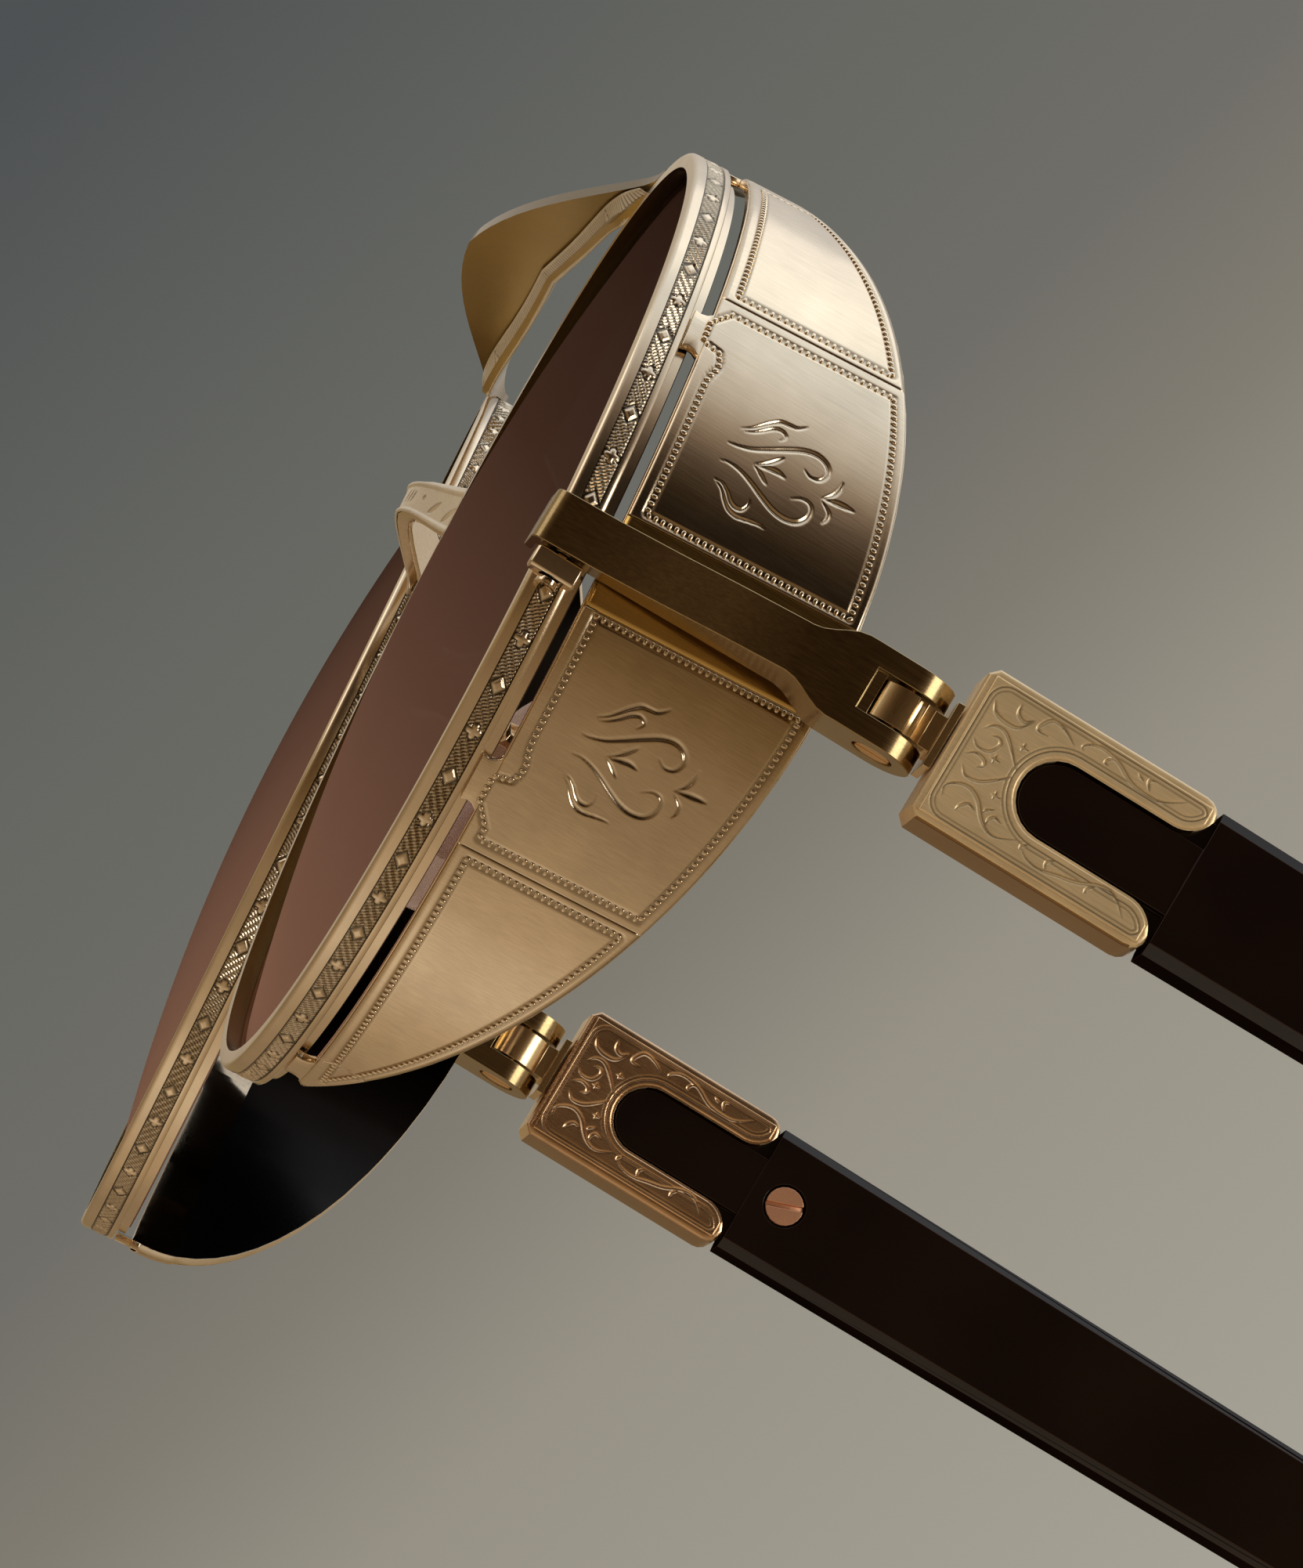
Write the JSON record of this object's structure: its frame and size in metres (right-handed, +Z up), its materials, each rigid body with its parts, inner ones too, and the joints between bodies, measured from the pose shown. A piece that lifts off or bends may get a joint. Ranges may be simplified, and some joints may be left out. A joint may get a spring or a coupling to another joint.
{
  "type": "round sunglasses",
  "caption": "Round metal sunglasses with engraved rims, curved side shields, a saddle bridge, a brow bar and folding acetate temples.",
  "frame": {"origin": "on the ground under the middle of the glasses' box, temples open", "axes": "+X to the wearer's left, -Y the way the lenses look, temples run along +Y, +Z up"},
  "size_m": [0.131, 0.1536, 0.0516],
  "materials": {
    "rim_metal": "polished antique brass plate with engraved bands",
    "lens_tint": "gradient brown sun lens",
    "shield_metal": "engraved antique brass sheet",
    "brow_metal": "polished antique brass",
    "end_piece_metal": "brushed antique brass",
    "screw_metal": "copper-toned slotted screws",
    "core_steel": "plain nickel silver wire",
    "acetate": "polished near-black acetate",
    "pad_silicone": "soft translucent silicone"
  },
  "bodies": {
    "front": {"rim_left": "rim_metal", "rim_right": "rim_metal", "lens_left": "lens_tint", "lens_right": "lens_tint", "side_shield_left": "shield_metal", "side_shield_right": "shield_metal", "end_piece_left": "end_piece_metal", "end_piece_right": "end_piece_metal", "rim_lock_left": "rim_metal", "rim_lock_right": "rim_metal", "rim_lock_screw_left": "rim_metal", "rim_lock_screw_right": "rim_metal", "hinge_screw_left": "screw_metal", "hinge_screw_right": "screw_metal", "pad_arm_left": "rim_metal", "pad_arm_right": "rim_metal", "pad_screw_left": "rim_metal", "pad_screw_right": "rim_metal", "brow_bar": "brow_metal", "nose_bridge": "rim_metal"},
    "temple_left_body": {"temple_left": "acetate", "temple_core_left": "core_steel", "temple_sleeve_left": "rim_metal", "temple_screw_left": "screw_metal", "hinge_leaf_left": "rim_metal"},
    "nose_pad_left_body": {"nose_pad_left": "pad_silicone"},
    "temple_right_body": {"temple_right": "acetate", "temple_core_right": "core_steel", "temple_sleeve_right": "rim_metal", "temple_screw_right": "screw_metal", "hinge_leaf_right": "rim_metal"},
    "nose_pad_right_body": {"nose_pad_right": "pad_silicone"}
  },
  "joints": [
    {"name": "temple_left_fold", "type": "hinge", "parent": "front", "child": "temple_left_body", "pos_m": [0.06335, -0.04918, 0.02604], "axis": [0, 0, 1], "range_deg": [0, 90]},
    {"name": "temple_right_fold", "type": "hinge", "parent": "front", "child": "temple_right_body", "pos_m": [-0.06335, -0.04918, 0.02604], "axis": [0, 0, -1], "range_deg": [0, 82]},
    {"name": "nose_pad_left_rock", "type": "hinge", "parent": "front", "child": "nose_pad_left_body", "pos_m": [0.0086, -0.06173, 0.02579], "axis": [0.6157, 0.788, 0], "range_deg": [-10, 10]},
    {"name": "nose_pad_right_rock", "type": "hinge", "parent": "front", "child": "nose_pad_right_body", "pos_m": [-0.0086, -0.06173, 0.02579], "axis": [-0.6157, 0.788, 0], "range_deg": [-10, 10]}
  ]
}
